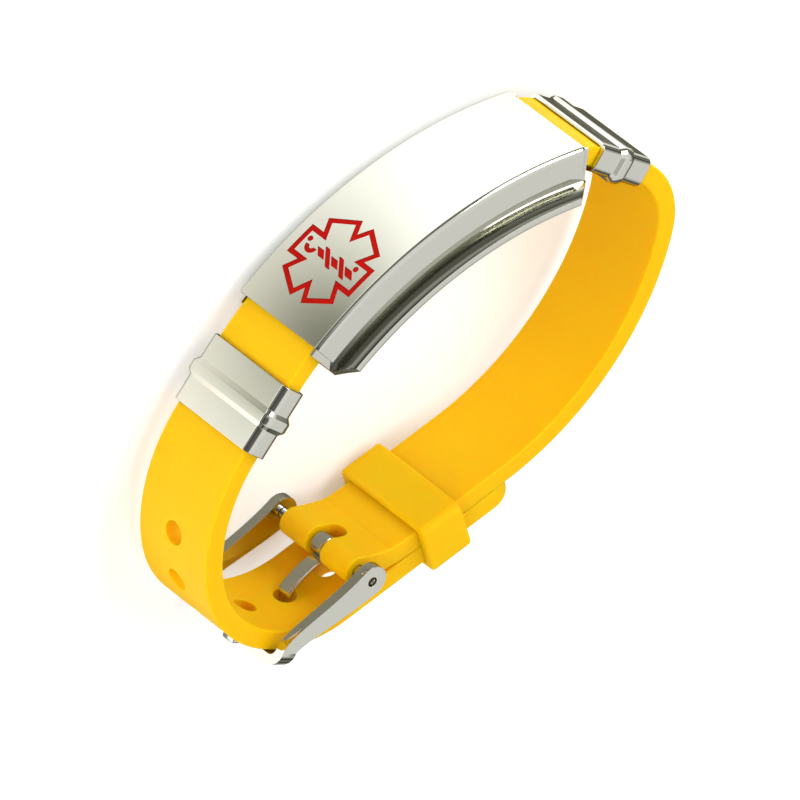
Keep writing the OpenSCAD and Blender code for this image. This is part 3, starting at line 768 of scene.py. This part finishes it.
# %% Buckle frame
ARM_STEPS = 28
arm_mid = (BUCKLE_W - ARM_T) / 2
bm = bmesh.new()
point, along = on_curve(0)
across = Vector((-along.y, along.x, 0)) * arm_half(0)
low, high = Vector((0, 0, arm_mid - ARM_T / 2)), Vector((0, 0, arm_mid + ARM_T / 2))
quad(bm, [point - across + low, point + across + low, point + across + high, point - across + high])
bmesh.ops.delete(bm, geom=bm.faces[:], context="FACES_ONLY")
edges = bm.edges[:]


def extrude_ring(bm, edges, move):
    """Extrudes a ring of edges and moves the new ring with a matrix."""
    made = edges_in(bmesh.ops.extrude_edge_only(bm, edges=edges)["geom"])
    new = [e for e in made if len(e.link_faces) == 1]
    bmesh.ops.transform(bm, matrix=move, verts=verts_of(new))
    return new


for i in range(1, ARM_STEPS + 1):
    (p0, d0), (p1, d1) = on_curve((i - 1) / ARM_STEPS), on_curve(i / ARM_STEPS)
    a0, a1 = atan2(d0.y, d0.x), atan2(d1.y, d1.x)
    grow = arm_half(i / ARM_STEPS) / arm_half((i - 1) / ARM_STEPS)
    move = (Matrix.Translation(p1) @ Matrix.Rotation(a1, 4, "Z") @ Matrix.Diagonal((1, grow, 1, 1))
            @ Matrix.Rotation(-a0, 4, "Z") @ Matrix.Translation(-p0))
    edges = extrude_ring(bm, edges, move)
turn_at = bar_at - CORNER_R * bar_d + Vector((0, 0, arm_mid - CORNER_R))
edges = spin(bm, edges + verts_of(edges), turn_at, pi / 2, 14, Vector((-bar_d.y, bar_d.x, 0)))
corner_z = sum(v.co.z for e in edges for v in e.verts) / (2 * len(edges))
print("corner ends at z", round(corner_z, 2), "should be", round(arm_mid - CORNER_R, 2))
edges = extrude_ring(bm, edges, Matrix.Translation((0, 0, -(arm_mid - CORNER_R))))
for vert in verts_of(edges):
    vert.co.z = 0.0
bmesh.ops.mirror(bm, geom=everything(bm), axis="Z", merge_dist=WELD)
bmesh.ops.remove_doubles(bm, verts=bm.verts, dist=WELD)
open_edges = [e for e in bm.edges if len(e.link_faces) == 1]
bmesh.ops.holes_fill(bm, edges=open_edges, sides=4)
bmesh.ops.recalc_face_normals(bm, faces=bm.faces)
for up in (-1, 1):
    disc = bmesh.new()
    rod(disc, ARM_END_R + NEAR, ARM_T, (pivot.x, pivot.y, up * arm_mid), "Z", 64)
    bm = boolean(bm, disc, "UNION")
sort_by_place(bm)
bmesh.ops.dissolve_limit(bm, angle_limit=radians(0.5), verts=bm.verts, edges=bm.edges)
cutter = bmesh.new()
rod(cutter, PIVOT_R, BUCKLE_W + 2, (pivot.x, pivot.y, 0), "Z", 32)
bm = boolean(bm, cutter)
round_edges(bm, edges_where(bm, lambda e: folded(e, 45)), FRAME_EDGE_R, 3)
finish_piece(bm, "steel_buckle_frame", "buckle_frame", steel)

# %% Spring bar
PIN_R, PIN_TIP_R, TIP_SINK, PIN_EDGE_R = 0.7, 0.42, 0.75, 0.08
bm = bmesh.new()
rod(bm, PIN_R, 2 * (BUCKLE_W / 2 - ARM_T - METAL_GAP), (pivot.x, pivot.y, 0), "Z", 40)
tips = bmesh.new()
rod(tips, PIN_TIP_R, BUCKLE_W - 2 * TIP_SINK, (pivot.x, pivot.y, 0), "Z", 32)
bm = boolean(bm, tips, "UNION")
round_edges(bm, edges_where(bm, lambda e: folded(e, 60)), PIN_EDGE_R, 3)
finish_piece(bm, "steel_spring_bar", "spring_bar", steel)

# %% [markdown]
# ## Tongue
# The tongue is a narrow steel strip whose end curls round the spring bar. From there it goes through a hole
# in the strap, bends, and lies over the crossbar. It is one sweep: a small rounded section is spun round the
# bar, along a slight bow to the strap, round a tight knee, extruded through the hole, spun round a second
# knee, and spun once more round the loop's last bend.

# %% Tongue
TONGUE_W, TONGUE_T, PAST = 1.9, 0.6, 3.0
TONGUE_EDGE_R, TONGUE_END_R = 0.24, 0.12
curl_r = PIN_R + PLAY / 2 + TONGUE_T / 2
out_r = bar_r + ARM_T / 2 + METAL_GAP + TONGUE_T / 2


def on_bend(radius, angle):
    return centre + radius * Vector((sin(radians(angle)), cos(radians(angle)), 0))


knee_1 = on_bend(OPEN_R - STRAP_T / 2 - TONGUE_T, TONGUE_ANGLE)
knee_2 = on_bend(out_r, TONGUE_ANGLE)
CURL_TURN, KNEE_R, BOW = 305.0, 0.42, radians(15)
bm = bmesh.new()
verts = quad(bm, [(0, -TONGUE_T / 2, -TONGUE_W / 2), (0, TONGUE_T / 2, -TONGUE_W / 2),
                  (0, TONGUE_T / 2, TONGUE_W / 2), (0, -TONGUE_T / 2, TONGUE_W / 2)])
round_corners(bm, verts, TONGUE_EDGE_R, 5)


def spin_ring(bm, ring, cent, angle, steps):
    return spin(bm, ring + verts_of(ring), cent, angle, steps)


def left_of(heading):
    return Vector((-sin(heading), cos(heading), 0))


def ahead_of(heading):
    return Vector((cos(heading), sin(heading), 0))


# The visible strip is bowed: it leaves the curl at one heading and meets its first knee at another. Each round
# of the loop brings the chord between those two places closer to its final heading.
up_h = pi / 2 - radians(TONGUE_ANGLE)
chord_h = atan2(knee_1.y - pivot.y, knee_1.x - pivot.x)
for _ in range(12):
    leave = pivot + curl_r * left_of(chord_h - BOW)
    turn_1 = up_h - (chord_h + BOW)
    trim_1 = KNEE_R * abs(sin(turn_1 / 2) / cos(turn_1 / 2))
    chord = knee_1 - trim_1 * ahead_of(chord_h + BOW) - leave
    chord_h = atan2(chord.y, chord.x)
leave_h, bow_r = chord_h - BOW, chord.length / (2 * sin(BOW))
start_h = leave_h + radians(CURL_TURN)
start = pivot + curl_r * left_of(start_h)
bmesh.ops.transform(bm, matrix=Matrix.Translation(start) @ Matrix.Rotation(start_h, 4, "Z"), verts=bm.verts)
ring = spin_ring(bm, bm.edges[:], pivot, -radians(CURL_TURN), 40)
ring = spin_ring(bm, ring, leave + bow_r * left_of(leave_h), 2 * BOW, 16)
here = leave + chord
print("tongue turns", round(degrees(turn_1)), "degrees at its first knee")
ring = spin_ring(bm, ring, here + KNEE_R * left_of(chord_h + BOW), turn_1, 10)
over_h = up_h - pi / 2
turn_2 = over_h - up_h
trim_2 = KNEE_R * abs(sin(turn_2 / 2) / cos(turn_2 / 2))
rise = (knee_2 - knee_1).length - trim_1 - trim_2
ring = extrude_ring(bm, ring, Matrix.Translation(rise * ahead_of(up_h)))
here = knee_1 + (trim_1 + rise) * ahead_of(up_h)
ring = spin_ring(bm, ring, here - KNEE_R * left_of(up_h), turn_2, 10)
last_turn = radians(BAR_ANGLE + PAST - TONGUE_ANGLE) - trim_2 / out_r
ring = spin_ring(bm, ring, centre, -last_turn, 30)
bmesh.ops.contextual_create(bm, geom=ring)
bmesh.ops.recalc_face_normals(bm, faces=bm.faces)
round_edges(bm, edges_where(bm, lambda e: folded(e, 70)), TONGUE_END_R, 3)
finish_piece(bm, "steel_tongue", "tongue", steel)

# %% [markdown]
# ## Floor
# The photograph is a product shot on white. Polished steel shows its surroundings, and the plate's
# face shows the floor in front of it: bright at one end, greyer at the other. So the floor is a large matt disc
# that is overexposed near the light. Three soft painted shades show in reflections only: a round grey spot in
# front of the plate's emblem end, the bracelet's own shade painted inside the plate's arch, and a darker far floor
# for the dark end of the room. Their blue is a little weaker, so the steel's darks turn olive. The floor also has
# a painted glow, though it is no lamp: that glow doesn't reach the silicone, the camera sees less than a third of
# it, and the steel reflects all of it.

# %% Floor
# Painted shade that only the steel's reflections see: a grey spot, the bracelet's shade in the arch, and a darker
# far floor.
SHADE_SPOT_AT, SHADE_SPOT_REACH, SHADE_SPOT_LEVEL = (0.020, -0.040, 0), 0.039, 0.15
ARCH_NEAR, ARCH_FAR, ARCH_SHADE_LEVEL = 0.0020, 0.0008, 0.22
END_NEAR, END_FAR, FAR_SHADE_LEVEL = 0.045, 0.125, 0.04
# OLIVE is the blue of the painted shades; next come the floor's painted glow, the share of that glow hidden from
# the camera, and the floor's radius.
OLIVE, GLOW, HIDDEN_GLOW, FLOOR_R = 1.12, 0.75, 0.70, 1.5
floor_material, tree, shader = new_material("floor")
white, floor_place = two_tones(tree, 30.0, (0.93, 0.93, 0.93), (0.95, 0.95, 0.95))
shader.inputs["Roughness"].default_value = 0.6
shader.inputs["Specular IOR Level"].default_value = 0.2


def set_range(node, near, far, low, high):
    """Sets a Map Range node that goes softly from low to high between near and far."""
    node.interpolation_type = "SMOOTHSTEP"
    for socket, value in (("From Min", near), ("From Max", far), ("To Min", low), ("To Max", high)):
        node.inputs[socket].default_value = value


def fading(place, near, far, low, high):
    """A level that goes from low to high between two distances from a place on the floor."""
    away = tree.nodes.new("ShaderNodeVectorMath")
    away.operation = "DISTANCE"
    away.inputs[1].default_value = place
    fade = tree.nodes.new("ShaderNodeMapRange")
    set_range(fade, near, far, low, high)
    tree.links.new(floor_place, away.inputs[0])
    tree.links.new(away.outputs["Value"], fade.inputs["Value"])
    return fade.outputs["Result"]


def computed(operation, first, second):
    """A Math node on two sockets, or on a number and a socket."""
    node = tree.nodes.new("ShaderNodeMath")
    node.operation = operation
    for slot, value in enumerate((first, second)):
        if isinstance(value, float):
            node.inputs[slot].default_value = value
        else:
            tree.links.new(value, node.inputs[slot])
    return node.outputs["Value"]


path = tree.nodes.new("ShaderNodeLightPath")
arch_centre, arch_r = Vector((X_SHIFT, Y_SHIFT + PLATE_R, 0)) * MM, PLATE_R * MM
# Painted shade: glossy rays see the floor darker in these three places, while camera and diffuse rays see it
# white.
painted_shades = computed("MULTIPLY", fading(SHADE_SPOT_AT, 0.0, SHADE_SPOT_REACH, SHADE_SPOT_LEVEL, 1.0),
                 fading(arch_centre, arch_r - ARCH_NEAR, arch_r - ARCH_FAR, ARCH_SHADE_LEVEL, 1.0))
painted_shades = computed("MULTIPLY", painted_shades, fading((0, 0, 0), END_NEAR, END_FAR, 1.0, FAR_SHADE_LEVEL))
level = computed("MAXIMUM", painted_shades, computed("SUBTRACT", 1.0, path.outputs["Is Glossy Ray"]))
toned = tree.nodes.new("ShaderNodeMix")
toned.data_type, toned.blend_type = "RGBA", "MULTIPLY"
toned.inputs["Factor"].default_value = 1.0
tint = tree.nodes.new("ShaderNodeCombineColor")
tree.links.new(level, tint.inputs["Red"])
tree.links.new(level, tint.inputs["Green"])
tree.links.new(computed("POWER", level, OLIVE), tint.inputs["Blue"])
tree.links.new(white, toned.inputs["A"])
tree.links.new(tint.outputs["Color"], toned.inputs["B"])
tree.links.new(toned.outputs["Result"], shader.inputs["Base Color"])
tree.links.new(toned.outputs["Result"], shader.inputs["Emission Color"])
# Painted light: the floor glows fully for glossy rays and a little for the camera, but not for diffuse rays, so it
# lights nothing.
seen = computed("SUBTRACT", 1.0, path.outputs["Is Diffuse Ray"])
seen = computed("SUBTRACT", seen, computed("MULTIPLY", HIDDEN_GLOW, path.outputs["Is Camera Ray"]))
tree.links.new(computed("MULTIPLY", GLOW, seen), shader.inputs["Emission Strength"])
bm = bmesh.new()
bmesh.ops.create_circle(bm, cap_ends=True, segments=96, radius=FLOOR_R)
floor_mesh = bpy.data.meshes.new("floor")
bm.to_mesh(floor_mesh)
bm.free()
floor = bpy.data.objects.new("floor", floor_mesh)
bpy.context.scene.collection.objects.link(floor)
floor_mesh.materials.append(floor_material)
print("floor:", len(floor_mesh.polygons), "face")

# %% [markdown]
# ## The room
# A mirror needs something dark to show too, or it looks like paper. The world stands in for the studio:
# dark low down, where the room is, bright higher up, where a white tent hangs, and dim round the place where
# a photographer would stand (DIM_FAR and DIM_NEAR are cosines of the angle to that direction). A rolled edge
# then shows a dark line and a light one, as polished metal does.
# The camera itself sees a plain pale background behind the floor's edge.

# %% World
TENT = ((0.0, 0.12), (0.03, 0.015), (0.26, 0.03), (0.44, 0.45), (0.60, 0.92), (1.0, 0.42))
TENT_BLUE, PHOTOGRAPHER, OPEN_LEVEL = 1.1, Vector((0.52, -0.45, 0.72)), 0.86
DIM_FAR, DIM_NEAR, DIM_LEVEL = 0.80, 0.96, 0.15
world = bpy.data.worlds.new("studio")
bpy.context.scene.world = world
world.use_nodes = True
tree = world.node_tree
looking = tree.nodes.new("ShaderNodeTexCoord")
height = tree.nodes.new("ShaderNodeSeparateXYZ")
tent = tree.nodes.new("ShaderNodeValToRGB")
tent.color_ramp.interpolation = "EASE"
for place, level in TENT:
    stop = tent.color_ramp.elements.new(place) if 0 < place < 1 else tent.color_ramp.elements[int(place)]
    stop.color = (level, level, level ** TENT_BLUE, 1)
tree.links.new(looking.outputs["Generated"], height.inputs["Vector"])
tree.links.new(height.outputs["Z"], tent.inputs["Fac"])
towards = tree.nodes.new("ShaderNodeVectorMath")
towards.operation = "DOT_PRODUCT"
towards.inputs[1].default_value = PHOTOGRAPHER.normalized()
dim = tree.nodes.new("ShaderNodeMapRange")
set_range(dim, DIM_FAR, DIM_NEAR, 1.0, DIM_LEVEL)
tree.links.new(looking.outputs["Generated"], towards.inputs[0])
tree.links.new(towards.outputs["Value"], dim.inputs["Value"])
background = tree.nodes["Background"]
tree.links.new(tent.outputs["Color"], background.inputs["Color"])
tree.links.new(dim.outputs["Result"], background.inputs["Strength"])
open_view = tree.nodes.new("ShaderNodeBackground")
open_view.inputs["Color"].default_value = (OPEN_LEVEL, OPEN_LEVEL, OPEN_LEVEL, 1)
path = tree.nodes.new("ShaderNodeLightPath")
either = tree.nodes.new("ShaderNodeMixShader")
tree.links.new(path.outputs["Is Camera Ray"], either.inputs["Fac"])
tree.links.new(background.outputs["Background"], either.inputs[1])
tree.links.new(open_view.outputs["Background"], either.inputs[2])
tree.links.new(either.outputs["Shader"], tree.nodes["World Output"].inputs["Surface"])
print("world:", world.name, "with", len(tent.color_ramp.elements), "levels")

# %% [markdown]
# ## Light
# The key light stands close, beyond the plate's far end, so that it fades along the bracelet. Two larger
# ones further off, overhead and at the buckle's side, fill the shadows. They light the silicone, but don't show
# in the steel, where a square patch of light would look like a window.

# %% Light
def softbox(name, place, target, size, power):
    """A square area light at a place, turned to a target."""
    light = bpy.data.lights.new(name, "AREA")
    light.shape, light.size, light.energy = "SQUARE", size, power
    lamp = bpy.data.objects.new(name, light)
    lamp.location = place
    lamp.rotation_euler = (Vector(target) - Vector(place)).to_track_quat("-Z", "Y").to_euler()
    bpy.context.scene.collection.objects.link(lamp)
    return lamp


softbox("key_softbox", (-0.16, -0.14, 0.12), (-0.01, -0.01, 0), 0.12, 0.30)
for fill in (softbox("top_softbox", (0.0, -0.12, 0.60), (0, 0, 0), 0.5, 0.4),
             softbox("front_softbox", (0.42, -0.25, 0.24), (0, 0, 0), 0.4, 1.9)):
    fill.visible_glossy = False

# %% [markdown]
# ## Camera
# The photograph was taken with a long lens, so parallel edges stay nearly parallel. The camera
# stands at the photo's angle to the object and is rolled by the same amount, because the object lies on its
# side here, where the photo shows it standing. View is set to Standard so that white stays white.

# %% Camera
to_camera = Vector((0.319, -0.7115, 0.626)).normalized()
image_right = Vector((-0.757, 0.206, 0.620))
image_up = to_camera.cross(image_right).normalized()
image_right = image_up.cross(to_camera).normalized()
looked_at = Vector((1.04, 6.24, 6.57)) * MM
DISTANCE, PICTURE_W, SENSOR_W = 2.0, 88.4 * MM, 36.0
camera_data = bpy.data.cameras.new("camera")
camera_data.sensor_width = SENSOR_W
camera_data.lens = SENSOR_W * DISTANCE / PICTURE_W
camera_data.clip_start, camera_data.clip_end = 0.1, 20.0
camera = bpy.data.objects.new("camera", camera_data)
axes = Matrix((image_right, image_up, to_camera)).transposed().to_4x4()
camera.matrix_world = Matrix.Translation(looked_at + DISTANCE * to_camera) @ axes
bpy.context.scene.collection.objects.link(camera)
bpy.context.scene.camera = camera
bpy.context.scene.view_settings.view_transform = "Standard"
print("lens:", round(camera_data.lens), "mm at", DISTANCE, "m")
